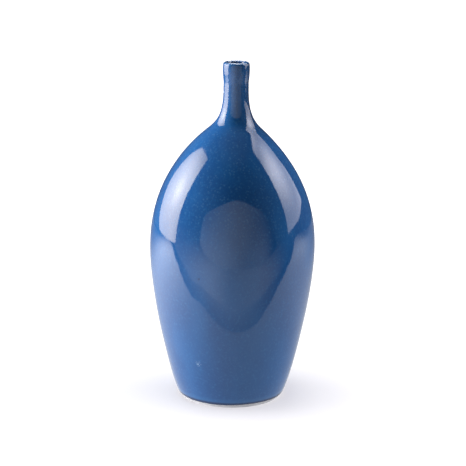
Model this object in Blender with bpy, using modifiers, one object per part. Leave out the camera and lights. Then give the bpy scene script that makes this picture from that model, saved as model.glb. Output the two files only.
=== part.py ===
"""Ceramic bud vase: a bottle of pale stoneware with a separately made neck, glazed inside and out.

Every piece is turned about the vase's axis. The outside of the finished glaze is drawn once, from the
glaze line above the foot up to the lip, and the inside of the finished glaze follows it at the wall's
thickness. The clay and the glaze coats lie between those two lines, at set depths.
Units are metres, +Z is up, and the origin is the centre of the plane that the foot stands on.
"""

import math

import bpy
from mathutils import Vector
from mathutils.geometry import interpolate_bezier

# Outside of the glaze
HEIGHT = 0.300
FOOT_RADIUS = 0.0470
GLAZE_LINE = 0.0030
FOOT_FLARE = math.radians(34.4)
BELLY_RADIUS = 0.0728
BELLY_HEIGHT = 0.1340
JOINT_RADIUS = 0.0236
JOINT_HEIGHT = 0.2415
JOINT_SLOPE = math.radians(48.6)
NECK_RADIUS = 0.0110
NECK_HEIGHT = 0.2772
LIP_RADIUS = 0.0115
LIP_DEPTH = 0.0018

# How far each curve runs on along its end directions
FOOT_PULL = 0.0100
BELLY_PULL_DOWN = 0.0424
BELLY_PULL_UP = 0.0170
SHOULDER_PULL = 0.0660
SKIRT_PULL = 0.0114
NECK_PULL = 0.0205

# Thicknesses
BODY_WALL = 0.0052
NECK_WALL = 0.0044
FLOOR_TOP = 0.0096
GLAZE = 0.0005
GAP = 0.0003
CLAY_DEPTH = GLAZE + GAP
LUTING_WIDTH = 0.0010

# Foot and floor
STAND_RADIUS = 0.0444
STAND_INNER_RADIUS = 0.0395
RECESS_DEPTH = 0.0030
RECESS_FLAT_RADIUS = 0.0330
FLOOR_FLAT_RADIUS = 0.0350
FLOOR_CORNER = 0.0110
FLOOR_PULL = 0.0080

# The outer glaze runs over the lip and down the inside of the neck to this height
LAP_HEIGHT = 0.2880

# The neck stands beside the body's axis, and the clay between them was smoothed over
NECK_OFFSET = 0.0016
OFFSET_START = 0.2290
OFFSET_END = 0.2560

# Facets
TURN_STEPS = 40
BODY_STEPS = 8
SHOULDER_STEPS = 8
SKIRT_STEPS = 6
NECK_STEPS = 3
LIP_STEPS = 6
FLOOR_STEPS = 4
RECESS_STEPS = 4
SHARP_ANGLE = math.radians(40)
MERGE = 0.00001

UP = Vector((0, 0, 1))


def at(radius, height):
    """A point of a profile, which lies in the plane of X and Z."""
    return Vector((radius, 0, height))


def curve(start, start_pull, end_pull, end, steps):
    """A cubic curve between two points. Each pull is the handle at its end of the curve, as a vector."""
    return interpolate_bezier(start, start + start_pull, end + end_pull, end, steps + 1)


def side_step(line, depth):
    """The line moved to its right by depth, which is a number or a function of a point."""
    moved = []
    for index, point in enumerate(line):
        before = line[max(index - 1, 0)]
        after = line[min(index + 1, len(line) - 1)]
        along = (after - before).normalized()
        distance = depth(point) if callable(depth) else depth
        moved.append(point + Vector((along.z, 0, -along.x)) * distance)
    return moved


def cut_at(line, height):
    """The part of a rising line below a height, and the part above it, which share a point there."""
    for index, (low, high) in enumerate(zip(line, line[1:])):
        if low.z <= height < high.z:
            crossing = low.lerp(high, (height - low.z) / (high.z - low.z))
            return line[: index + 1] + [crossing], [crossing] + line[index + 1 :]
    raise ValueError("the line doesn't cross that height")


def wall(point):
    """Thickness of the finished wall, glaze included, beside a point of the outside."""
    share = (point.z - JOINT_HEIGHT) / (NECK_HEIGHT - JOINT_HEIGHT)
    return BODY_WALL + (NECK_WALL - BODY_WALL) * min(max(share, 0.0), 1.0)


def neck_shift(height):
    """How far the clay at a height stands to +X of the body's axis."""
    share = (height - OFFSET_START) / (OFFSET_END - OFFSET_START)
    share = min(max(share, 0.0), 1.0)
    return NECK_OFFSET * share * share * (3 - 2 * share)


def joint_direction():
    """The way the outside runs as it crosses the joint between body and neck."""
    return Vector((-math.sin(JOINT_SLOPE), 0, math.cos(JOINT_SLOPE)))


def body_outside():
    """The outside from the glaze line, over the belly, to the joint."""
    foot = at(FOOT_RADIUS, GLAZE_LINE)
    foot_pull = Vector((math.sin(FOOT_FLARE), 0, math.cos(FOOT_FLARE))) * FOOT_PULL
    belly = at(BELLY_RADIUS, BELLY_HEIGHT)
    joint = at(JOINT_RADIUS, JOINT_HEIGHT)
    lower = curve(foot, foot_pull, -UP * BELLY_PULL_DOWN, belly, BODY_STEPS)
    shoulder_pull = -joint_direction() * SHOULDER_PULL
    upper = curve(belly, UP * BELLY_PULL_UP, shoulder_pull, joint, SHOULDER_STEPS)
    return lower + upper[1:]


def neck_outside():
    """The outside from the joint, up the neck's skirt and tube, to where the lip starts to round over."""
    joint = at(JOINT_RADIUS, JOINT_HEIGHT)
    neck = at(NECK_RADIUS, NECK_HEIGHT)
    lip = at(LIP_RADIUS, HEIGHT - LIP_DEPTH)
    skirt = curve(joint, joint_direction() * SKIRT_PULL, -UP * NECK_PULL, neck, SKIRT_STEPS)
    third = (lip.z - neck.z) / 3
    tube = curve(neck, UP * third, (neck - lip) / 3, lip, NECK_STEPS)
    return skirt + tube[1:]


def lip_round(depth):
    """The rounded top of the lip from outside to inside, at a depth below its surface."""
    centre = at(LIP_RADIUS - NECK_WALL / 2, HEIGHT - LIP_DEPTH)
    half_width = NECK_WALL / 2 - depth
    rise = LIP_DEPTH - depth
    angles = [math.pi * step / LIP_STEPS for step in range(1, LIP_STEPS)]
    return [centre + at(half_width * math.cos(a), rise * math.sin(a)) for a in angles]


def inside():
    """The inside of the finished glaze, from the centre of the floor up to the lip's rounding."""
    walls = side_step(body_outside() + neck_outside()[1:], lambda point: -wall(point))
    walls[-1] = at(LIP_RADIUS - NECK_WALL, HEIGHT - LIP_DEPTH)
    _, walls = cut_at(walls, FLOOR_TOP + FLOOR_CORNER)
    edge = at(FLOOR_FLAT_RADIUS, FLOOR_TOP)
    wall_pull = (walls[0] - walls[1]).normalized() * FLOOR_PULL
    corner = curve(edge, at(FLOOR_PULL, 0), wall_pull, walls[0], FLOOR_STEPS)
    return [at(0, FLOOR_TOP), edge.lerp(at(0, FLOOR_TOP), 0.5)] + corner + walls[1:]


def recess():
    """The clay under the floor, from the centre out and down to the ring that the vase stands on."""
    flat_edge = at(RECESS_FLAT_RADIUS, RECESS_DEPTH)
    ring_edge = at(STAND_INNER_RADIUS, 0)
    reach = (STAND_INNER_RADIUS - RECESS_FLAT_RADIUS) / 2
    corner = curve(flat_edge, at(reach, 0), UP * RECESS_DEPTH / 2, ring_edge, RECESS_STEPS)
    return [at(0, RECESS_DEPTH)] + corner


def luting_edges(sign):
    """Both ends of a cut across the wall just above the joint, or below it where the sign is -1."""
    half = LUTING_WIDTH / 2
    across = Vector((-joint_direction().z, 0, joint_direction().x))
    joint = at(JOINT_RADIUS, JOINT_HEIGHT)
    outer = joint + across * CLAY_DEPTH
    inner = joint + across * (BODY_WALL - CLAY_DEPTH)
    slip = joint_direction() * sign * half
    clay = joint_direction() * sign * (half + GAP)
    return {"slip": (outer + slip, inner + slip), "clay": (outer + clay, inner + clay)}


def clay_body_profile():
    """Clay of the body: wall, floor and the bare foot."""
    outer_cut, inner_cut = luting_edges(-1)["clay"]
    outer = side_step(body_outside(), -CLAY_DEPTH)[:-1] + [outer_cut]
    low_inside, _ = cut_at(side_step(inside(), CLAY_DEPTH)[2:], inner_cut.z)
    inner = side_step(inside(), CLAY_DEPTH)[:2] + low_inside[:-1] + [inner_cut]
    return recess() + [at(STAND_RADIUS, 0)] + outer + inner[::-1]


def clay_neck_profile():
    """Clay of the neck: the skirt that sits on the body's shoulder, the tube and the lip."""
    outer_cut, inner_cut = luting_edges(1)["clay"]
    outer = [outer_cut] + side_step(neck_outside(), -CLAY_DEPTH)[1:]
    _, high_inside = cut_at(side_step(inside(), CLAY_DEPTH)[2:], inner_cut.z)
    inner = [inner_cut] + high_inside[1:]
    return outer + lip_round(CLAY_DEPTH) + inner[::-1]


def luting_profile():
    """The band of slip that glues the neck to the body."""
    low_outer, low_inner = luting_edges(-1)["slip"]
    high_outer, high_inner = luting_edges(1)["slip"]
    return [low_outer, high_outer, high_inner, low_inner]


def outer_glaze_profile():
    """The coat on the outside, over the lip and a little way down the neck."""
    outside = body_outside() + neck_outside()[1:]
    _, lap = cut_at(inside()[2:], LAP_HEIGHT)
    _, lap_back = cut_at(side_step(inside(), GLAZE)[2:], LAP_HEIGHT)
    face = outside + lip_round(0) + lap[::-1]
    back = lap_back + lip_round(GLAZE)[::-1] + side_step(outside, -GLAZE)[::-1]
    return face + back


def liner_glaze_profile():
    """The coat that keeps water in, from the floor up to the outer coat's lap in the neck."""
    top = LAP_HEIGHT - 2 * GAP
    face = inside()[:2] + cut_at(inside()[2:], top)[0]
    behind = side_step(inside(), GLAZE)
    back = behind[:2] + cut_at(behind[2:], top)[0]
    return back + face[::-1]


def base_glaze_profile():
    """The coat in the recess under the floor, wiped off before it reaches the standing ring."""
    covered = recess()[:-1]
    face = side_step(covered, CLAY_DEPTH)
    back = side_step(covered, GAP)
    return face + back[::-1]


def material(name, colour, roughness, coat):
    """A plain dielectric finish. The coat is the clear glassy layer on a glaze."""
    made = bpy.data.materials.new(name)
    made.use_nodes = True
    shader = made.node_tree.nodes["Principled BSDF"]
    shader.inputs["Base Color"].default_value = (*colour, 1)
    shader.inputs["Metallic"].default_value = 0
    shader.inputs["Roughness"].default_value = roughness
    shader.inputs["Coat Weight"].default_value = coat
    return made


def turned(name, profile, finish, collection, parent):
    """A piece turned about Z from a closed profile, or from one that starts and ends on the axis.

    A profile is given rising on its outer side, and the Screw modifier takes it the other way round.
    """
    mesh = bpy.data.meshes.new(name)
    falling = profile[::-1]
    edges = [(index, index + 1) for index in range(len(falling) - 1)]
    if falling[0].x > MERGE:
        edges.append((len(falling) - 1, 0))
    mesh.from_pydata(falling, edges, [])
    piece = bpy.data.objects.new(name, mesh)
    collection.objects.link(piece)
    screw = piece.modifiers.new("turn", "SCREW")
    screw.axis = "Z"
    screw.angle = math.tau
    screw.steps = TURN_STEPS
    screw.render_steps = TURN_STEPS
    screw.use_merge_vertices = True
    screw.merge_threshold = MERGE
    apply_modifiers(piece)
    set_neck_aside(piece)
    piece.data.shade_smooth()
    piece.data.set_sharp_from_angle(angle=SHARP_ANGLE)
    piece.data.materials.append(finish)
    piece.parent = parent
    return piece


def apply_modifiers(piece):
    """Gives the piece the mesh that its modifiers make."""
    graph = bpy.context.evaluated_depsgraph_get()
    mesh = bpy.data.meshes.new_from_object(piece.evaluated_get(graph), depsgraph=graph)
    piece.modifiers.clear()
    piece.data = mesh


def set_neck_aside(piece):
    """Moves each ring of the piece sideways, as the neck was set beside the body's axis."""
    for vertex in piece.data.vertices:
        vertex.co.x += neck_shift(vertex.co.z)


def build():
    for old in list(bpy.data.objects):
        bpy.data.objects.remove(old)
    collection = bpy.data.collections.new("bud_vase")
    bpy.context.scene.collection.children.link(collection)
    axis = bpy.data.objects.new("vase_axis", None)
    axis.empty_display_size = BELLY_RADIUS
    collection.objects.link(axis)

    bisque = material("bare_stoneware", (0.62, 0.60, 0.58), 0.75, 0.0)
    slip = material("fired_slip", (0.55, 0.53, 0.50), 0.85, 0.0)
    outer_blue = material("blue_glaze", (0.020, 0.095, 0.235), 0.10, 1.0)
    liner_blue = material("blue_liner_glaze", (0.016, 0.070, 0.180), 0.14, 1.0)
    base_blue = material("blue_base_glaze", (0.022, 0.100, 0.240), 0.16, 1.0)

    pieces = (
        ("clay_body", clay_body_profile(), bisque),
        ("clay_neck", clay_neck_profile(), bisque),
        ("luting_slip", luting_profile(), slip),
        ("outer_glaze", outer_glaze_profile(), outer_blue),
        ("liner_glaze", liner_glaze_profile(), liner_blue),
        ("base_glaze", base_glaze_profile(), base_blue),
    )
    for name, profile, finish in pieces:
        turned(name, profile, finish, collection, axis)


build()
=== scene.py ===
"""Looks of the ceramic bud vase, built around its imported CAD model. Lengths are metres, and +Z is up.

Each CAD node is turned again from its own outline, with smooth curves and a fine pitch. Then its surface
gets the marks that throwing, joining, glazing and firing leave. The viewer is on the side of -Y.
"""

import math

import bmesh
import bpy
import numpy as np
from mathutils import Matrix, Vector


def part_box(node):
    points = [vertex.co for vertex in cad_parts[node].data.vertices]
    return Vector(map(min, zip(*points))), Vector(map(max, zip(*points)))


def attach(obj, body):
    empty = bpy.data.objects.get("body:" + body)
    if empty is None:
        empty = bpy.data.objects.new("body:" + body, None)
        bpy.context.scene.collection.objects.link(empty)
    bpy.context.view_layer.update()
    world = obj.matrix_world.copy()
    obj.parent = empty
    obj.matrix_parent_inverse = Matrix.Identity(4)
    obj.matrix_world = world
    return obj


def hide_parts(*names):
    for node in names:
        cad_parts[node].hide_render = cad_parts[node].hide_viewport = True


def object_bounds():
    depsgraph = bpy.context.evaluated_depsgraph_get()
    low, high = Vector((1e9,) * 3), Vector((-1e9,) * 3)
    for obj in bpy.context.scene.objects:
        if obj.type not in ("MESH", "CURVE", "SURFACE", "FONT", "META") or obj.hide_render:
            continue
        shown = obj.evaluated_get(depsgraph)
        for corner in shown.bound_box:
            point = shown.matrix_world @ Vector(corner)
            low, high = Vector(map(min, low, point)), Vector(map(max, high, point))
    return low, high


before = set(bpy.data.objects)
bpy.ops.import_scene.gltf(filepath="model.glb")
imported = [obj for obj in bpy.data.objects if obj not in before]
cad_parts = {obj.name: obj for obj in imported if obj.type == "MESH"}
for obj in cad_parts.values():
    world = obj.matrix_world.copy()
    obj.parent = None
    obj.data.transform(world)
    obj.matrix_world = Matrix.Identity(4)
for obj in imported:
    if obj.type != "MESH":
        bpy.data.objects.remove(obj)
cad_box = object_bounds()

# Turning. The pitch is fine from this far below the top up, and from this far above the glaze line down.
WELD = 1e-6
SHARP_TURN = math.radians(40)
SIDES = 360
PITCH = 0.0011
FINE_PITCH = 0.00035
FINE_AT_LIP = 0.016
FINE_AT_FOOT = 0.008
END_STEPS = 6

# How thick the glaze is with the gap behind it closed, and the little that it stays clear of the clay
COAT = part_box("outer_glaze")[1].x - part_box("clay_body")[1].x
CLEARANCE = 0.00004
TOP = cad_box[1].z
GLAZE_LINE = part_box("outer_glaze")[0].z

# Marks on the glaze: how far round from the viewer towards +X in degrees, how high, and how wide
NECK_BUMP = (-75, 0.2742, 0.0013)
SHOULDER_BUMP = (53, 0.2439, 0.0011)
PINHOLE = (-22.9, 0.1241, 0.0015)
SCUFF = (-28.6, 0.0428, 0.0040)


# ----------------------------------------------------------------------------------------------------
# Outlines, as arrays with a row for each ring: its radius, its height and how far to +X its centre is
# ----------------------------------------------------------------------------------------------------

def cad_outline(node):
    """The rings of a CAD node, in order from its lowest one and up its outer side first."""
    shape = bmesh.new()
    shape.from_mesh(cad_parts[node].data)
    bmesh.ops.remove_doubles(shape, verts=shape.verts, dist=WELD)
    half = {v for v in shape.verts if abs(v.co.y) < WELD and v.co.x > -WELD}
    beside = {v: [e.other_vert(v) for e in v.link_edges if e.other_vert(v) in half] for v in half}
    loose_ends = [v for v in half if len(beside[v]) == 1]
    walk = [min(loose_ends or half, key=lambda v: v.co.z)]
    ahead = max(beside[walk[0]], key=lambda v: v.co.x)
    while ahead is not None:
        walk.append(ahead)
        ahead = next((v for v in beside[ahead] if v not in walk), None)
    points = np.array([v.co for v in shape.verts])
    rings = []
    for x, _, z in (v.co for v in walk):
        level = points[np.abs(points[:, 2] - z) < WELD, 0]
        centre = (level.max() + level.min()) / 2
        rings.append((x - centre, z, centre))
    shape.free()
    return np.array(rings)


def directions(line):
    """The unit direction of each step of a line."""
    steps = np.diff(line, axis=0)
    return steps / np.linalg.norm(steps[:, :2], axis=1)[:, None]


def bends(line):
    """The angle that the line turns left through at each of its inner points."""
    along = directions(line)[:, :2]
    cross = along[:-1, 0] * along[1:, 1] - along[:-1, 1] * along[1:, 0]
    return np.arctan2(cross, (along[:-1] * along[1:]).sum(axis=1))


def runs(outline, closed):
    """The outline's smooth stretches between its sharp corners."""
    if closed:
        outline = np.vstack([outline, outline[:1]])
    corners = [index + 1 for index, bend in enumerate(bends(outline)) if abs(bend) > SHARP_TURN]
    cuts = [0, *corners, len(outline) - 1]
    return [outline[start : end + 1] for start, end in zip(cuts, cuts[1:])]


def swung(step, angle):
    """A direction after it swings left through an angle."""
    c, s = math.cos(angle), math.sin(angle)
    return np.array((step[0] * c - step[1] * s, step[0] * s + step[1] * c, step[2]))


def tangents(line):
    """Directions of a smooth curve through the line's points. Where straight meets round, straight wins.

    Where the curve's bend changes side, a point has a strong bend on both sides of it and a weak one of its
    own. There each side's bend goes on up to the point.
    """
    along = directions(line)
    if len(along) == 1:
        return np.vstack([along, along])
    bend = bends(line)
    amount = np.abs(bend)
    from_before, from_after = amount.copy(), amount.copy()
    saddles = []
    for index in range(1, len(bend) - 1):
        changes_side = bend[index - 1] * bend[index + 1] < 0
        if changes_side and amount[index] < min(amount[index - 1], amount[index + 1]):
            from_before[index] = amount[index - 1]
            from_after[index] = amount[index + 1]
            saddles.append(index)
    before = np.concatenate([amount[:1], from_after[:-1]])
    after = np.concatenate([from_before[1:], amount[-1:]])
    inner = along[:-1] * (after + WELD)[:, None] + along[1:] * (before + WELD)[:, None]
    for index in saddles:
        arriving = swung(along[index], bend[index - 1] / 2)
        leaving = swung(along[index + 1], -bend[index + 1] / 2)
        inner[index] = arriving + leaving
    inner /= np.linalg.norm(inner[:, :2], axis=1)[:, None]

    def mirrored(tangent, step):
        return 2 * (tangent[:2] @ step[:2]) * step - tangent

    return np.vstack([mirrored(inner[0], along[0]), inner, mirrored(inner[-1], along[-1])])


def smooth(line):
    """The line as a smooth curve at an even pitch, which is finer near the lip and the foot."""
    slopes = tangents(line)
    curve = [line[:1]]
    for start, end, start_slope, end_slope in zip(line, line[1:], slopes, slopes[1:]):
        length = np.linalg.norm((end - start)[:2])
        low = min(start[1], end[1])
        high = max(start[1], end[1])
        is_fine = low < GLAZE_LINE + FINE_AT_FOOT or high > TOP - FINE_AT_LIP
        count = max(2, math.ceil(length / (FINE_PITCH if is_fine else PITCH)))
        t = (np.arange(1, count + 1) / count)[:, None]
        curve.append(
            (2 * t**3 - 3 * t**2 + 1) * start
            + (t**3 - 2 * t**2 + t) * length * start_slope
            + (3 * t**2 - 2 * t**3) * end
            + (t**3 - t**2) * length * end_slope
        )
    return np.vstack(curve)


def outward(outline):
    """Unit normals of an outline's rings, in radius and height."""
    along = np.gradient(outline[:, :2], axis=0)
    along /= np.linalg.norm(along, axis=1)[:, None]
    return np.stack([along[:, 1], -along[:, 0]], axis=1)


def smooth_outline(node):
    """A CAD node's whole outline, smooth between its corners, and whether it closes on itself."""
    outline = cad_outline(node)
    closed = outline[0, 0] > WELD
    parts = [smooth(run) for run in runs(outline, closed)]
    whole = np.vstack([parts[0]] + [part[1:] for part in parts[1:]])
    return (whole[:-1] if closed else whole), closed


def half_round(start, end):
    """Rings that round off the edge of a coat between two faces."""
    middle = (start + end) / 2
    arm = start - middle
    ahead = np.array([-arm[1], arm[0], 0])
    angles = np.linspace(0, math.pi, END_STEPS + 1)[1:-1, None]
    return middle + arm * np.cos(angles) + ahead * np.sin(angles)


def coat_outline(face, closed):
    """A coat of glaze that is fused to the clay behind it, from the outline of its face."""
    behind = face.copy()
    behind[:, :2] -= outward(face) * (COAT - CLEARANCE)
    if closed:
        far_edge = half_round(face[-1], behind[-1])
        near_edge = half_round(behind[0], face[0])
        return np.vstack([face, far_edge, behind[::-1], near_edge])
    behind[np.abs(face[:, 0]) < WELD, 0] = 0
    on_axis_first = face[0, 0] < WELD
    if on_axis_first:
        return np.vstack([face, half_round(face[-1], behind[-1]), behind[::-1]])
    return np.vstack([behind[::-1], half_round(behind[0], face[0]), face])


GLAZE_FACE = smooth(runs(cad_outline("outer_glaze"), True)[0])


# ----------------------------------------------------------------------------------------------------
# Unevenness, as how far each point of a surface stands out, in metres
# ----------------------------------------------------------------------------------------------------

# Lumps: how far they stand out, how wide they are, and the seed of their pattern. The edge's lumps move it up
# and down, and the body's waves are squashed in height.
BODY_WAVES = (0.00006, 0.085, 1)
BODY_LUMPS = (0.00001, 0.016, 2)
NECK_WAVES = (0.00003, 0.014, 3)
NECK_LUMPS = (0.00001, 0.006, 4)
INNER_LUMPS = (0.00010, 0.04, 5)
CLAY_GRIT = (0.000035, 0.0022, 6)
CLAY_LUMPS = (0.00003, 0.009, 7)
BASE_LUMPS = (0.00005, 0.018, 8)
EDGE_WANDER = (0.00022, 0.05, 9)
WAVES_IN_LUMPS = 28
WAVE_LENGTHS = (0.7, 1.6)
BODY_WAVES_SQUASH = (1, 1, 1.6)

# The neck: where it starts and is fully a neck, how much of the body's waves it loses, and the swelling on
# its front, with the degrees round from the viewer where the swelling starts, is full, thins and ends
NECK_START = 0.245
NECK_FULL = 0.268
NECK_CALM = 0.6
NECK_SWELL = 0.00045
SWELL_ANGLES = (-52, -24, -10, 60)

# The edge of the outer glaze: its roll's height, its middle above the glaze line and its width, and how
# high above the glaze line the edge's wandering can be seen
EDGE_ROLL = 0.00016
EDGE_ROLL_MIDDLE = 0.0010
EDGE_ROLL_WIDTH = 0.0009
WANDER_REACH = 0.006

# How far the marks stand out
MARK_RELIEF = ((NECK_BUMP, 0.00045), (SHOULDER_BUMP, 0.00030), (PINHOLE, -0.00030))

# Turning marks inside: their pitch and height, and the heights that they start and are full at
TURNING_PITCH = 0.0075
TURNING_MARKS = 0.00008
TURNING_START = 0.012
TURNING_FULL = 0.03

# The foot is flat up to the first height and fully gritty from the second one
FOOT_FLAT = 0.0002
FOOT_GRITTY = 0.0016


def lumps(points, kind):
    """Smooth random unevenness, as a sum of waves that run in random directions."""
    height, size, seed = kind
    random = np.random.default_rng(seed)
    ways = random.normal(size=(WAVES_IN_LUMPS, 3))
    ways /= np.linalg.norm(ways, axis=1)[:, None]
    lengths = size * random.uniform(*WAVE_LENGTHS, WAVES_IN_LUMPS)
    starts = random.uniform(0, math.tau, WAVES_IN_LUMPS)
    total = np.zeros(points.shape[:-1])
    for way, length, start in zip(ways, lengths, starts):
        total += np.sin(points @ way * math.tau / length + start)
    return height * (total / math.sqrt(WAVES_IN_LUMPS))


def fade(values, start, end):
    """0 before start, 1 after end and a smooth step between them. The end may be below the start."""
    share = np.clip((values - start) / (end - start), 0, 1)
    return share * share * (3 - 2 * share)


def place(mark):
    """The middle of a mark on the outer glaze."""
    degrees, height, _ = mark
    radius = np.interp(height, GLAZE_FACE[:, 1], GLAZE_FACE[:, 0])
    centre = np.interp(height, GLAZE_FACE[:, 1], GLAZE_FACE[:, 2])
    angle = math.radians(degrees)
    return np.array((centre + radius * math.sin(angle), -radius * math.cos(angle), height))


def bump(points, mark):
    """1 at a mark's middle, and less around it."""
    width = mark[2]
    away = np.linalg.norm(points - place(mark), axis=-1)
    return np.exp(-2 * (away / width) ** 2)


def neck_relief(points):
    """The neck was pulled by hand, so it is lumpy and swells on the side that faces the viewer."""
    neck_middle = GLAZE_FACE[:, 2].max()
    around = np.degrees(np.arctan2(points[..., 0] - neck_middle, -points[..., 1]))
    swell_start, swell_full, swell_thins, swell_end = SWELL_ANGLES
    swell = NECK_SWELL * fade(around, swell_start, swell_full) * fade(around, swell_end, swell_thins)
    return lumps(points, NECK_WAVES) + lumps(points, NECK_LUMPS) + swell


def glaze_relief(points):
    """A body made by hand, the roll that the glaze's edge dried into, and bumps and a hole in the glaze."""
    height = points[..., 2]
    on_neck = fade(height, NECK_START, NECK_FULL)
    body = lumps(points * BODY_WAVES_SQUASH, BODY_WAVES) + lumps(points, BODY_LUMPS)
    edge = EDGE_ROLL * np.exp(-(((height - GLAZE_LINE - EDGE_ROLL_MIDDLE) / EDGE_ROLL_WIDTH) ** 2))
    marks = sum(relief * bump(points, mark) for mark, relief in MARK_RELIEF)
    return body * (1 - NECK_CALM * on_neck) + neck_relief(points) * on_neck + edge + marks


def edge_wander(points):
    """How far up the edge of the outer glaze has wandered round the foot."""
    near_edge = fade(points[..., 2], GLAZE_LINE + WANDER_REACH, GLAZE_LINE)
    return near_edge * lumps(points * (1, 1, 0), EDGE_WANDER)


def inner_relief(points):
    """The inside of the pot, which nobody smoothed: turning marks that climb the wall, and lumps."""
    height = points[..., 2]
    angle = np.arctan2(points[..., 1], points[..., 0])
    marks = np.sin(math.tau * height / TURNING_PITCH + angle)
    on_wall = fade(height, TURNING_START, TURNING_FULL)
    return TURNING_MARKS * marks * on_wall + lumps(points, INNER_LUMPS)


def clay_relief(points):
    """Bare clay: the grit of the foot, and lumps from wiping it by hand. What it stands on stays flat."""
    grit = lumps(points, CLAY_GRIT) + lumps(points, CLAY_LUMPS)
    return grit * fade(points[..., 2], FOOT_FLAT, FOOT_GRITTY)


def base_relief(points):
    """The thin glaze under the floor, which pooled unevenly."""
    return lumps(points, BASE_LUMPS)


# ----------------------------------------------------------------------------------------------------
# Turning
# ----------------------------------------------------------------------------------------------------

def spun(outline, closed):
    """The points of each ring of an outline, and the way that the surface faces there."""
    angles = np.linspace(0, math.tau, SIDES, endpoint=False)
    around = np.stack([np.cos(angles), np.sin(angles)], axis=1)
    if closed:
        normals = outward(np.vstack([outline[-1:], outline, outline[:1]]))[1:-1]
    else:
        normals = outward(outline)
    points = np.empty((len(outline), SIDES, 3))
    points[..., :2] = outline[:, None, :1] * around
    points[..., 0] += outline[:, None, 2]
    points[..., 2] = outline[:, None, 1]
    facing = np.empty_like(points)
    facing[..., :2] = normals[:, None, :1] * around
    facing[..., 2] = normals[:, None, 1]
    return points, facing


def bands(rings, closed):
    """The faces between each ring and the next one. On a closed outline the last ring meets the first."""
    column = np.arange(SIDES)
    following = (column + 1) % SIDES
    faces = []
    for ring in range(rings if closed else rings - 1):
        low = ring * SIDES
        high = (ring + 1) % rings * SIDES
        corners = [low + column, low + following, high + following, high + column]
        faces += np.stack(corners, axis=1).tolist()
    return faces


def fan(pole, ring, order):
    """The triangles between a pole and a ring. The order is 1 or -1, and -1 turns them over."""
    start = ring * SIDES
    return [[pole, start + (side + 1) % SIDES, start + side][::order] for side in range(SIDES)]


def turn(name, outline, closed, relief, relief_share=1.0, lift=None):
    """A mesh object turned from an outline, which is closed or has both its ends on the axis.

    The relief and the lift are functions of points: how far the surface stands out there, and how far it is
    then moved up. The relief's share is a number, or an array with a number for each ring.
    """
    points, facing = spun(outline, closed)
    share = np.broadcast_to(relief_share, len(outline))
    points += facing * (relief(points) * share[:, None])[..., None]
    if lift is not None:
        points[..., 2] += lift(points)

    rings = points if closed else points[1:-1]
    vertices = list(map(tuple, rings.reshape(-1, 3)))
    faces = bands(len(rings), closed)
    if not closed:
        for ring, end, order in ((0, points[0], 1), (len(rings) - 1, points[-1], -1)):
            faces += fan(len(vertices), ring, order)
            vertices.append((0.0, 0.0, end[0, 2]))
    mesh = bpy.data.meshes.new(name)
    mesh.from_pydata(vertices, [], faces)
    mesh.shade_smooth()
    mesh.set_sharp_from_angle(angle=SHARP_TURN)
    piece = bpy.data.objects.new(name, mesh)
    bpy.context.scene.collection.objects.link(piece)
    return piece


def finished(piece, node, finish):
    """Puts a piece in place of its CAD node, with its material."""
    piece.data.materials.append(finish)
    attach(piece, "root")
    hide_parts(node)
    return piece


# ----------------------------------------------------------------------------------------------------
# Materials
# ----------------------------------------------------------------------------------------------------

class Nodes:
    """Adds nodes to a node tree. Each input takes a plain value or another node's output."""

    def __init__(self, tree):
        self.tree = tree

    def add(self, kind, inputs=None, **settings):
        node = self.tree.nodes.new(kind)
        for name, value in settings.items():
            setattr(node, name, value)
        for name, value in (inputs or {}).items():
            self.feed(node.inputs[name], value)
        return node

    def feed(self, socket, value):
        if isinstance(value, bpy.types.NodeSocket):
            self.tree.links.new(value, socket)
        else:
            socket.default_value = value

    def math(self, operation, a, b):
        return self.add("ShaderNodeMath", {0: a, 1: b}, operation=operation).outputs[0]

    def ramp(self, value, start, end, low=0.0, high=1.0, steps="SMOOTHSTEP"):
        """Value mapped from low at start to high at end, in a smooth step or in a straight line."""
        inputs = {"Value": value, "From Min": start, "From Max": end, "To Min": low, "To Max": high}
        return self.add("ShaderNodeMapRange", inputs, interpolation_type=steps).outputs["Result"]

    def distance(self, spot, centre):
        inputs = {0: spot, 1: centre}
        return self.add("ShaderNodeVectorMath", inputs, operation="DISTANCE").outputs["Value"]

    def split(self, vector):
        """A vector's outputs X, Y and Z."""
        return self.add("ShaderNodeSeparateXYZ", {0: vector}).outputs


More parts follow.
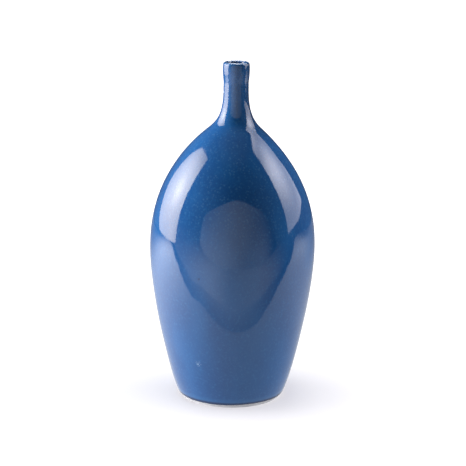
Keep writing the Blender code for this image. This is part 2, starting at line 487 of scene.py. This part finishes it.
class Finish(Nodes):
    """A node material in the making, whose shader is a Principled BSDF."""

    def __init__(self, name):
        self.material = bpy.data.materials.new(name)
        self.material.use_nodes = True
        super().__init__(self.material.node_tree)
        self.shader = self.tree.nodes["Principled BSDF"]
        self.spot = self.add("ShaderNodeTexCoord").outputs["Object"]

    def set(self, **values):
        for name, value in values.items():
            self.feed(self.shader.inputs[name.replace("_", " ")], value)

    def noise(self, size, detail=2.0, stretch=(1, 1, 1)):
        """Noise from 0 to 1 with lumps of about a given size."""
        stretched = self.add("ShaderNodeVectorMath", {0: self.spot, 1: stretch}, operation="MULTIPLY")
        inputs = {"Vector": stretched.outputs[0], "Scale": 1 / size, "Detail": detail}
        return self.add("ShaderNodeTexNoise", inputs).outputs["Fac"]

    def uneven(self, size, low, high):
        """A number that wanders between low and high in patches of about a given size."""
        return self.ramp(self.noise(size), 0.3, 0.7, low, high)

    def specks(self, size, radius):
        """1 in round specks and 0 around them, with one speck in each cell of about a given size."""
        cells = self.add("ShaderNodeTexVoronoi", {"Vector": self.spot, "Scale": 1 / size})
        return self.ramp(cells.outputs["Distance"], radius, radius * 0.5)

    def blend(self, share, a, b):
        """Colour a mixed towards colour b by a share."""
        mix = self.add("ShaderNodeMix", data_type="RGBA")
        self.feed(mix.inputs["Factor"], share)
        for socket, colour in ((mix.inputs[6], a), (mix.inputs[7], b)):
            self.feed(socket, (*colour, 1) if isinstance(colour, tuple) else colour)
        return mix.outputs[2]

    def mottled(self, a, b, size, start, end, most=1.0, detail=2.0, stretch=(1, 1, 1)):
        """Colour a with patches of colour b, which come in as noise of about a given size rises."""
        share = self.ramp(self.noise(size, detail, stretch), start, end, 0.0, most)
        return self.blend(share, a, b)

    def height(self):
        return self.split(self.spot)["Z"]

    def near(self, mark):
        """1 at a mark's middle and 0 from its width away."""
        width = mark[2]
        return self.ramp(self.distance(self.spot, tuple(place(mark))), width, 0.0)

    def rough(self, height, strength, distance):
        """Bumps in the shading, from a height that runs from 0 to 1, as far out as the distance."""
        bumps = self.add("ShaderNodeBump", {"Height": height, "Strength": strength, "Distance": distance})
        self.set(Normal=bumps.outputs["Normal"])


# Colours of the glaze and the clay, as linear light
BLUE = (0.0110, 0.112, 0.350)
DEEP_BLUE = (0.0080, 0.085, 0.288)
PALE_BLUE = (0.024, 0.165, 0.430)
# Thick pooled glaze at the foot, and the same colour as painted shade in the pinhole
POOLED_BLUE_AND_PAINTED_SHADE = (0.004, 0.030, 0.110)
THIN_BLUE = (0.055, 0.190, 0.420)
CLAY_THROUGH_BLUE = (0.18, 0.25, 0.36)
# Pale scratches of the scuff, and the same colour as a painted highlight on the bumps
PALE_SCRATCH_AND_GLINT = (0.28, 0.45, 0.68)
CLAY = (0.56, 0.56, 0.60)
PALE_CLAY = (0.66, 0.66, 0.71)
DARK_CLAY = (0.48, 0.47, 0.48)
IRON = (0.16, 0.11, 0.08)
SLIP = (0.50, 0.48, 0.45)
PALE_SLIP = (0.60, 0.58, 0.55)

# How strongly an iron speck colours the clay, and how strongly glaze bends light
IRON_SHARE = 0.7
GLAZE_IOR = 1.5

# The outer glaze: the sizes of its clouds, mottle, flecks, orange peel and scratches. A stretch below 1 draws
# a texture out in height, and one above 1 flattens it.
CLOUDS = 0.045
CLOUD_STRETCH = (1, 1, 0.6)
MOTTLE = 0.0021
FLECKS = 0.0024
FLECK_PATCHES = 0.005
PEEL = 0.0042
FINE_PEEL = 0.0012
FINE_PEEL_SHARE = 0.25
PEEL_DEPTH = 0.00004
SCRATCHES = 0.0014
SCRATCH_STRETCH = (1, 1, 2.5)

# Heights between which the flecks of the shoulder get denser
FLECKS_SPARSE = 0.120
FLECKS_DENSE = 0.205

# Depths below the top where the lip's glaze starts to thin and is thinnest
LIP_THINS = 0.0016
LIP_THINNEST = 0.0002

# Heights above the glaze line where the pooled glaze ends and is full, and the same for the pale band on it
POOL_END = 0.0034
POOL_FULL = 0.0012
PALE_BAND_END = 0.0075
PALE_BAND_FULL = 0.0045


def glaze_colour(finish):
    """Cloudy and finely mottled blue, flecked on the shoulder and thin on the lip."""
    height = finish.height()
    colour = finish.mottled(DEEP_BLUE, BLUE, CLOUDS, start=0.38, end=0.64, detail=3.0, stretch=CLOUD_STRETCH)
    colour = finish.mottled(colour, PALE_BLUE, MOTTLE, start=0.48, end=0.80, most=0.55, detail=3.0)
    dense = finish.ramp(height, FLECKS_SPARSE, FLECKS_DENSE, low=0.08, high=0.46)
    scattered = finish.ramp(finish.noise(FLECK_PATCHES), start=0.38, end=0.60)
    share = finish.math("MULTIPLY", dense, scattered)
    flecks = finish.math("MULTIPLY", finish.specks(FLECKS, radius=0.46), share)
    colour = finish.blend(flecks, colour, THIN_BLUE)
    lip = finish.ramp(height, TOP - LIP_THINS, TOP - LIP_THINNEST, high=0.5)
    return finish.blend(lip, colour, THIN_BLUE)


def pooled_edge(finish, colour):
    """The colour with the dark roll of glaze above the foot, and a pale band where it ran down from."""
    height = finish.height()
    pool = finish.ramp(height, GLAZE_LINE + POOL_END, GLAZE_LINE + POOL_FULL)
    band = finish.ramp(height, GLAZE_LINE + PALE_BAND_END, GLAZE_LINE + PALE_BAND_FULL, high=0.30)
    above_pool = finish.math("MULTIPLY", band, finish.math("SUBTRACT", 1.0, pool))
    colour = finish.blend(above_pool, colour, PALE_BLUE)
    return finish.blend(pool, colour, POOLED_BLUE_AND_PAINTED_SHADE)


def marked(finish, colour):
    """The colour with painted shade in the pinhole, the scuff's pale scratches, and a painted highlight on
    each bump.
    """
    # Painted shade in the pinhole
    colour = finish.blend(finish.near(PINHOLE), colour, POOLED_BLUE_AND_PAINTED_SHADE)
    scratches = finish.ramp(finish.noise(SCRATCHES, stretch=SCRATCH_STRETCH), start=0.52, end=0.60)
    colour = finish.blend(finish.math("MULTIPLY", finish.near(SCUFF), scratches), colour, PALE_SCRATCH_AND_GLINT)
    # A painted highlight on each bump
    for mark in (NECK_BUMP, SHOULDER_BUMP):
        colour = finish.blend(finish.near(mark), colour, PALE_SCRATCH_AND_GLINT)
    return colour


def blue_glaze():
    """Gloss glaze with a fine orange peel."""
    finish = Finish("blue_glaze_finish")
    colour = marked(finish, pooled_edge(finish, glaze_colour(finish)))
    roughness = finish.uneven(size=0.02, low=0.045, high=0.075)
    finish.set(Base_Color=colour, Roughness=roughness, IOR=GLAZE_IOR)
    fine_peel = finish.math("MULTIPLY", finish.noise(FINE_PEEL, detail=1.0), FINE_PEEL_SHARE)
    finish.rough(finish.math("ADD", finish.noise(PEEL), fine_peel), strength=0.35, distance=PEEL_DEPTH)
    return finish.material


def inner_glaze():
    """The same glaze inside, where it was poured in and out: thinner, plainer and a little duller."""
    finish = Finish("blue_liner_finish")
    colour = finish.mottled(DEEP_BLUE, BLUE, size=0.03, start=0.35, end=0.65, detail=3.0)
    colour = finish.mottled(colour, PALE_BLUE, size=0.002, start=0.5, end=0.8, most=0.4)
    roughness = finish.uneven(size=0.01, low=0.08, high=0.16)
    finish.set(Base_Color=colour, Roughness=roughness, IOR=GLAZE_IOR)
    finish.rough(finish.noise(size=0.003), strength=0.4, distance=0.00005)
    return finish.material


def base_glaze():
    """The glaze under the floor, brushed on thinly, so that pale clay shows through it here and there."""
    finish = Finish("blue_base_finish")
    colour = finish.mottled(BLUE, PALE_BLUE, size=0.012, start=0.35, end=0.7, detail=3.0)
    colour = finish.mottled(colour, CLAY_THROUGH_BLUE, size=0.004, start=0.60, end=0.72, most=0.6, detail=4.0)
    roughness = finish.uneven(size=0.005, low=0.10, high=0.28)
    finish.set(Base_Color=colour, Roughness=roughness, IOR=GLAZE_IOR)
    finish.rough(finish.noise(size=0.003, detail=3.0), strength=0.5, distance=0.00008)
    return finish.material


def bare_clay():
    """Fired stoneware without glaze: pale grey-white, with fine grit, iron specks and a matt surface."""
    finish = Finish("bare_stoneware_finish")
    colour = finish.mottled(CLAY, PALE_CLAY, size=0.010, start=0.3, end=0.7, detail=4.0)
    colour = finish.mottled(colour, DARK_CLAY, size=0.0006, start=0.55, end=0.75, most=0.5)
    iron = finish.math("MULTIPLY", finish.specks(size=0.0032, radius=0.10), IRON_SHARE)
    colour = finish.blend(iron, colour, IRON)
    finish.set(Base_Color=colour, Roughness=finish.uneven(size=0.001, low=0.62, high=0.88))
    finish.rough(finish.noise(size=0.0007, detail=4.0), strength=0.6, distance=0.00012)
    return finish.material


def fired_slip():
    """The slip in the joint: the same clay, finer and a little greyer."""
    finish = Finish("fired_slip_finish")
    colour = finish.mottled(SLIP, PALE_SLIP, size=0.006, start=0.3, end=0.7, detail=3.0)
    finish.set(Base_Color=colour, Roughness=finish.uneven(size=0.002, low=0.75, high=0.9))
    finish.rough(finish.noise(size=0.0012, detail=3.0), strength=0.5, distance=0.00010)
    return finish.material


# ----------------------------------------------------------------------------------------------------
# The vase
# ----------------------------------------------------------------------------------------------------

# Shares of the relief: on the outer glaze's rounded edge, on its face inside the neck below the lip's
# rounding, and on the liner glaze
EDGE_SHARE = 0.6
NECK_INSIDE_SHARE = 0.3
LINER_SHARE = 0.6
LIP_ROUNDING = 0.003


def make_outer_glaze():
    """The outer glaze. Its relief is full outside and less inside the neck, and its back has none."""
    outline = coat_outline(GLAZE_FACE, True)
    share = np.zeros(len(outline))
    share[: len(GLAZE_FACE)] = 1
    share[-END_STEPS + 1 :] = EDGE_SHARE
    inside_neck = GLAZE_FACE[:, 1] < TOP - LIP_ROUNDING
    inside_neck[: np.argmax(GLAZE_FACE[:, 1])] = False
    share[: len(GLAZE_FACE)][inside_neck] = NECK_INSIDE_SHARE
    piece = turn("glaze_outside", outline, True, glaze_relief, share, edge_wander)
    return finished(piece, "outer_glaze", blue_glaze())


def make_liner_glaze():
    outline = coat_outline(smooth(runs(cad_outline("liner_glaze"), False)[-1]), False)
    piece = turn("glaze_inside", outline, False, inner_relief, LINER_SHARE)
    return finished(piece, "liner_glaze", inner_glaze())


def make_base_glaze():
    outline = coat_outline(smooth(runs(cad_outline("base_glaze"), False)[0]), False)
    piece = turn("glaze_underside", outline, False, base_relief)
    return finished(piece, "base_glaze", base_glaze())


def make_clay_piece(node, name, finish):
    outline, closed = smooth_outline(node)
    return finished(turn(name, outline, closed, clay_relief), node, finish)


def make_clay():
    """The clay of the body and the neck, and the slip in the joint between them."""
    clay = bare_clay()
    return [
        make_clay_piece("clay_body", "body_of_clay", clay),
        make_clay_piece("clay_neck", "neck_of_clay", clay),
        make_clay_piece("luting_slip", "slip_in_the_joint", fired_slip()),
    ]


PIECES = [make_outer_glaze(), make_liner_glaze(), make_base_glaze(), *make_clay()]


# ----------------------------------------------------------------------------------------------------
# The studio. Matt surfaces are lit by soft lamps that no reflection shows. What the gloss of the glaze
# mirrors is a table with painted light and shade, a rim of painted shade, sheets of light around it
# and a dim room, which nothing else sees.
# ----------------------------------------------------------------------------------------------------

# A pool of light is its centre, its reach and its strength in the middle. A shade is an axis, where along
# it the shade starts and is full, and the share of the light that is left there.

# The floor that the camera sees: half its width, how much light it gives off up to a near and from a far
# distance from the vase's axis, and its lamp
FLOOR_REACH = 6
FLOOR_GREY = (0.35, 0.35, 0.35)
FLOOR_TINT = (0.97, 0.95, 1)
FLOOR_LIGHT_NEAR = 0.70
FLOOR_LIGHT_FAR = 1.3
FLOOR_NEAR = 0.14
FLOOR_FAR = 0.60
# Painted shadow and light on the floor: less glow on the vase's left, and a little more in front of its foot
FLOOR_PAINTED_POOLS = [((-0.12, 0.0, 0), 0.15, -0.23), ((0.02, -0.10, 0), 0.07, 0.05)]
FLOOR_LAMP_SPOT = Vector((-0.15, 0.02, 1.1))
FLOOR_LAMP_SIZE = 0.8
FLOOR_LAMP_WATTS = 24

# Soft lamps whose light is only for the vase: where they are from its middle, in degrees round to +X from
# the viewer and degrees up, and their power. The two low ones stand for the light that the table throws back.
LAMPS = {
    "left_lamp": (-90, -10, 20.5),
    "high_left_lamp": (-105, 40, 5.2),
    "back_left_lamp": (-120, 65, 12.0),
    "right_lamp": (108, 12, 16.0),
    "table_bounce": (-15, -35, 5.2),
    "right_bounce": (60, -60, 4.0),
}
LAMP_SIZE = 0.8
LAMP_AWAY = 1.2

# A small black flag between the right lamp and the neck, in Y and Z
FLAG_X = 0.062
FLAG = [(0.004, 0.246), (0.004, 0.36), (0.12, 0.36), (0.12, 0.246)]

# The table top, seen from above, and the darker rim around it, which is painted shade under the table's edge
TABLE = [
    (-1.30, 0.34), (-1.20, 0.04), (-0.42, -0.140), (-0.22, -0.146), (-0.13, -0.188), (0.10, -0.146),
    (0.33, -0.150), (0.75, -0.02), (1.90, 0.15), (1.95, 0.60), (0.90, 0.86), (-0.85, 0.80),
]
TABLE_MIDDLE = np.array((0.35, 0.34))
TABLE_HEIGHT = 0.0001
TABLE_LIGHT = 1.12
# The table's painted light and shade: pools of light from the sheets, then painted shade, which is the vase's
# shadow round its foot and a darker patch at the back on the right
TABLE_PAINTED_POOLS = [
    ((-0.72, 0.02, 0), 0.62, 4.6),
    ((-0.30, -0.10, 0), 0.35, 1.2),
    ((0.72, 0.08, 0), 0.75, 0.95),
    ((0.0, 0.12, 0), 0.36, -0.40),
    ((0.10, 0.0, 0), 0.16, -0.20),
    ((0.38, 0.30, 0), 0.42, -0.7),
]
TABLE_SHADE = ("Y", 0.16, 0.64, 0.30)
RIM_SPREAD = 1.13
RIM_HEIGHT = -0.0008
# The rim's glow, dimmed next to the table as painted shade under its edge
RIM_LIGHT = 0.2
RIM_POOLS = [((-0.20, -0.35, 0), 0.75, 1.35)]
RIM_SHADE = ("Y", -0.26, -0.14, 0.62)

# The big bright sheets on the left and the right, in Y and Z
LEFT_X = -0.947
LEFT_SHEET = [
    (-0.120, 0.035), (-0.120, 1.35), (0.50, 1.07), (0.81, 0.785), (0.98, 0.50), (1.01, 0.34),
    (0.77, 0.10), (0.60, 0.03),
]
LEFT_LIGHT = 3.5
LEFT_POOLS = [
    ((LEFT_X, 0.10, 0.60), 0.85, 8.4),
    ((LEFT_X, 0.20, 0.52), 0.25, 4.0),
    ((LEFT_X, 0.02, 0.05), 0.25, 1.8),
]
LEFT_TINT = (1.0, 0.91, 0.78)
RIGHT_X = 1.20
RIGHT_SHEET = [(-0.17, 0.15), (-0.17, 2.1), (1.0, 2.1), (1.0, 0.28)]
RIGHT_LIGHT = 2.6
RIGHT_POOLS = [((RIGHT_X, 0.17, 1.02), 0.75, 5.4), ((RIGHT_X, 0.2, 2.1), 0.8, 2.6)]
RIGHT_TINT = (1.0, 0.97, 1.03)

# The dim wall in front, in X and Z
FRONT_Y = -2.2
FRONT_SHEET = [
    (-2.2, -0.55), (-2.2, 1.15), (-1.6, 1.34), (-0.6, 1.55), (0.4, 1.71), (1.2, 1.60), (2.4, 1.45),
    (3.0, 0.95), (3.9, 0.30), (4.4, -0.1), (4.4, -0.55),
]
FRONT_LIGHT = 0.72
FRONT_POOLS = [
    ((-1.8, FRONT_Y, -1.1), 2.6, 1.3),
    ((-0.2, FRONT_Y, 0.3), 2.0, 0.35),
    ((2.4, FRONT_Y, -0.6), 1.8, 0.8),
]
FRONT_SHADE = ("X", 0.0, 4.0, 0.1)

# The sheet that leans over the vase from behind: half its width, and its low and high edges in Y and Z
BACK_REACH = 0.45
BACK_LOW = (1.2, 0.95)
BACK_HIGH = (0.12, 2.2)
BACK_LIGHT = 8.0

# The viewer's camera
LENS = 144.5
SENSOR = 36
CAMERA_SPOT = Vector((0.0004, -1.597, 0.5715))
CAMERA_TARGET = Vector((0.0004, 0, 0.1474))
CAMERA_ROLL = math.radians(0.7)


def stage_mesh(name, corners, material):
    """A flat stage piece from its corners."""
    mesh = bpy.data.meshes.new(name)
    mesh.from_pydata([tuple(corner) for corner in corners], [], [tuple(range(len(corners)))])
    mesh.materials.append(material)
    thing = bpy.data.objects.new(name, mesh)
    bpy.context.scene.collection.objects.link(thing)
    return thing


def seen_by(thing, camera=False, glossy=False, shadow=False):
    """Says which rays see a stage piece. Diffuse rays see none."""
    thing.visible_camera = camera
    thing.visible_diffuse = False
    thing.visible_glossy = glossy
    thing.visible_transmission = glossy
    thing.visible_shadow = shadow


def pooled(nodes, spot, level, pools):
    """A level of light at a spot, with what each pool adds to it."""
    for centre, reach, strength in pools:
        pool = nodes.ramp(nodes.distance(spot, centre), 0.0, reach, strength, 0.0)
        level = nodes.math("ADD", level, pool)
    return level


def glow(name, level, pools=(), shades=(), tint=(1, 1, 1)):
    """The material of a sheet that gives off light unevenly, with its pools and shades."""
    material = bpy.data.materials.new(name)
    material.use_nodes = True
    material.node_tree.nodes.clear()
    nodes = Nodes(material.node_tree)
    spot = nodes.add("ShaderNodeNewGeometry").outputs["Position"]
    level = pooled(nodes, spot, level, pools)
    along = nodes.split(spot)
    for axis, start, full, share in shades:
        level = nodes.math("MULTIPLY", level, nodes.ramp(along[axis], start, full, 1.0, share))
    light = nodes.add("ShaderNodeEmission", {"Color": (*tint, 1), "Strength": level})
    nodes.add("ShaderNodeOutputMaterial", {"Surface": light.outputs["Emission"]})
    material.cycles.emission_sampling = "NONE"
    return material


def floor_paper():
    """Matt paper that also gives off light, as if overexposed: a little near the vase and more far off, with
    a painted shadow on the vase's left and a little painted light in front of its foot.
    """
    material = bpy.data.materials.new("floor_paper")
    material.use_nodes = True
    nodes = Nodes(material.node_tree)
    shader = nodes.tree.nodes["Principled BSDF"]
    spot = nodes.add("ShaderNodeNewGeometry").outputs["Position"]
    away = nodes.add("ShaderNodeVectorMath", {0: spot}, operation="LENGTH").outputs["Value"]
    level = nodes.ramp(away, FLOOR_NEAR, FLOOR_FAR, FLOOR_LIGHT_NEAR, FLOOR_LIGHT_FAR, "LINEAR")
    inputs = {
        "Base Color": (*FLOOR_GREY, 1),
        "Roughness": 1.0,
        "Specular IOR Level": 0.0,
        "Emission Color": (*FLOOR_TINT, 1),
        "Emission Strength": pooled(nodes, spot, level, FLOOR_PAINTED_POOLS),
    }
    for name, value in inputs.items():
        nodes.feed(shader.inputs[name], value)
    return material


def rounded(corners, rounds=3):
    """A closed outline whose corners are cut off again and again, a quarter of each side at a time."""
    line = np.array(corners, dtype=float)
    for _ in range(rounds):
        following = np.roll(line, -1, axis=0)
        early = line * 0.75 + following * 0.25
        late = line * 0.25 + following * 0.75
        line = np.stack([early, late], axis=1).reshape(-1, 2)
    return line


def level_sheet(outline, z):
    """Corners of a sheet that lies level, from its outline in X and Y."""
    return [(x, y, z) for x, y in outline]


def side_sheet(x, outline):
    """Corners of a sheet that stands across X, from its outline in Y and Z."""
    return [(x, y, z) for y, z in outline]


def lights_only(lamp, name, receivers):
    """Keeps the light of a lamp on some objects."""
    group = bpy.data.collections.new(name)
    for thing in receivers:
        group.objects.link(thing)
    lamp.light_linking.receiver_collection = group


def build_lamp(name, spot, size, watts):
    """A square lamp that faces the middle of the vase's foot, and that neither camera nor gloss sees."""
    data = bpy.data.lights.new(name, "AREA")
    data.shape = "SQUARE"
    data.size = size
    data.energy = watts
    lamp = bpy.data.objects.new(name, data)
    lamp.location = spot
    lamp.rotation_euler = spot.to_track_quat("Z", "Y").to_euler()
    lamp.visible_glossy = False
    lamp.visible_camera = False
    bpy.context.scene.collection.objects.link(lamp)
    return lamp


def build_floor():
    """The pale floor that only the camera sees. Its lamp is only for it, so that its shadow stays soft."""
    reach = FLOOR_REACH
    corners = level_sheet([(-reach, -reach), (reach, -reach), (reach, reach), (-reach, reach)], 0)
    floor = stage_mesh("floor", corners, floor_paper())
    seen_by(floor, camera=True)
    lamp = build_lamp("floor_lamp", FLOOR_LAMP_SPOT, FLOOR_LAMP_SIZE, FLOOR_LAMP_WATTS)
    lights_only(lamp, "under_floor_lamp", [floor])


def build_lamps():
    """The vase's lamps, and the small flag that keeps the neck out of the right one's light."""
    for name, (around, up, watts) in LAMPS.items():
        around, up = math.radians(around), math.radians(up)
        way = Vector((math.sin(around) * math.cos(up), -math.cos(around) * math.cos(up), math.sin(up)))
        spot = way * LAMP_AWAY + Vector((0, 0, TOP / 2))
        lights_only(build_lamp(name, spot, LAMP_SIZE, watts), name + "_shines_on", PIECES)
    flag = stage_mesh("flag", side_sheet(FLAG_X, FLAG), bpy.data.materials.new("flag_black"))
    seen_by(flag, shadow=True)


def build_sheets():
    """What is mirrored in the vase: the table with its painted light and shade, its rim of painted shade, and
    the sheets around and over it.
    """
    table = rounded(TABLE)
    rim = (table - TABLE_MIDDLE) * RIM_SPREAD + TABLE_MIDDLE
    front = [(x, FRONT_Y, z) for x, z in rounded(FRONT_SHEET, 2)]
    low_edge = [(-BACK_REACH, *BACK_LOW), (BACK_REACH, *BACK_LOW)]
    high_edge = [(BACK_REACH, *BACK_HIGH), (-BACK_REACH, *BACK_HIGH)]
    table_glow = glow("table_glow", TABLE_LIGHT, TABLE_PAINTED_POOLS, [TABLE_SHADE])
    painted_shade_rim_glow = glow("painted_shade_rim_glow", RIM_LIGHT, RIM_POOLS, [RIM_SHADE])
    left_glow = glow("left_glow", LEFT_LIGHT, LEFT_POOLS, tint=LEFT_TINT)
    right_glow = glow("right_glow", RIGHT_LIGHT, RIGHT_POOLS, tint=RIGHT_TINT)
    front_glow = glow("front_glow", FRONT_LIGHT, FRONT_POOLS, [FRONT_SHADE])
    sheets = (
        ("table", level_sheet(table, TABLE_HEIGHT), table_glow),
        ("painted_shade_rim", level_sheet(rim, RIM_HEIGHT), painted_shade_rim_glow),
        ("left_sheet", side_sheet(LEFT_X, LEFT_SHEET), left_glow),
        ("right_sheet", side_sheet(RIGHT_X, RIGHT_SHEET), right_glow),
        ("front_sheet", front, front_glow),
        ("back_sheet", low_edge + high_edge, glow("back_glow", BACK_LIGHT)),
    )
    for name, corners, material in sheets:
        seen_by(stage_mesh(name, corners, material), glossy=True)


def build_world():
    """White where the camera looks past the floor. Mirrored in the vase, a dim room with a lit floor.

    Each ramp starts and ends at a direction's part along an axis, from -1 to 1, and gives a share or a level
    of light.
    """
    world = bpy.data.worlds.new("studio")
    bpy.context.scene.world = world
    world.use_nodes = True
    nodes = Nodes(world.node_tree)
    way = nodes.split(nodes.add("ShaderNodeTexCoord").outputs["Generated"])
    rays = nodes.add("ShaderNodeLightPath").outputs

    to_left = nodes.ramp(way["X"], 0.05, -0.55)
    low_on_left = nodes.ramp(way["Z"], 0.20, -0.36, 0.0, 0.85)
    not_behind = nodes.ramp(way["Y"], 0.15, -0.10)
    left_floor = nodes.math("MULTIPLY", nodes.math("MULTIPLY", to_left, low_on_left), not_behind)
    low_in_front = nodes.ramp(way["Z"], 0.0, -0.35, 0.0, 0.95)
    to_front = nodes.ramp(way["Y"], -0.05, -0.75)
    front_floor = nodes.math("MULTIPLY", low_in_front, to_front)
    ceiling = nodes.ramp(way["Z"], 0.82, 1.0, 0.06, 0.26)
    left_haze = nodes.ramp(way["X"], 0.0, -0.9, 0.0, 0.22)
    right_haze = nodes.ramp(way["X"], 0.3, 0.9, 0.0, 0.08)

    floors = nodes.math("ADD", left_floor, front_floor)
    walls = nodes.math("ADD", ceiling, nodes.math("ADD", left_haze, right_haze))
    room = nodes.math("ADD", floors, walls)
    mirrored = nodes.math("MULTIPLY", room, rays["Is Glossy Ray"])
    background = nodes.tree.nodes["Background"]
    nodes.feed(background.inputs["Strength"], nodes.math("MAXIMUM", mirrored, rays["Is Camera Ray"]))
    nodes.feed(background.inputs["Color"], (1, 1, 1, 1))


def build_camera():
    """A long lens, a little above the lip, rolled a touch to one side."""
    data = bpy.data.cameras.new("camera")
    data.lens = LENS
    data.sensor_width = SENSOR
    camera = bpy.data.objects.new("camera", data)
    look = (CAMERA_TARGET - CAMERA_SPOT).to_track_quat("-Z", "Y").to_matrix().to_4x4()
    roll = Matrix.Rotation(CAMERA_ROLL, 4, "Z")
    camera.matrix_world = Matrix.Translation(CAMERA_SPOT) @ look @ roll
    bpy.context.scene.collection.objects.link(camera)
    bpy.context.scene.camera = camera


build_floor()
build_lamps()
build_sheets()
build_world()
build_camera()
bpy.context.scene.view_settings.view_transform = "Standard"
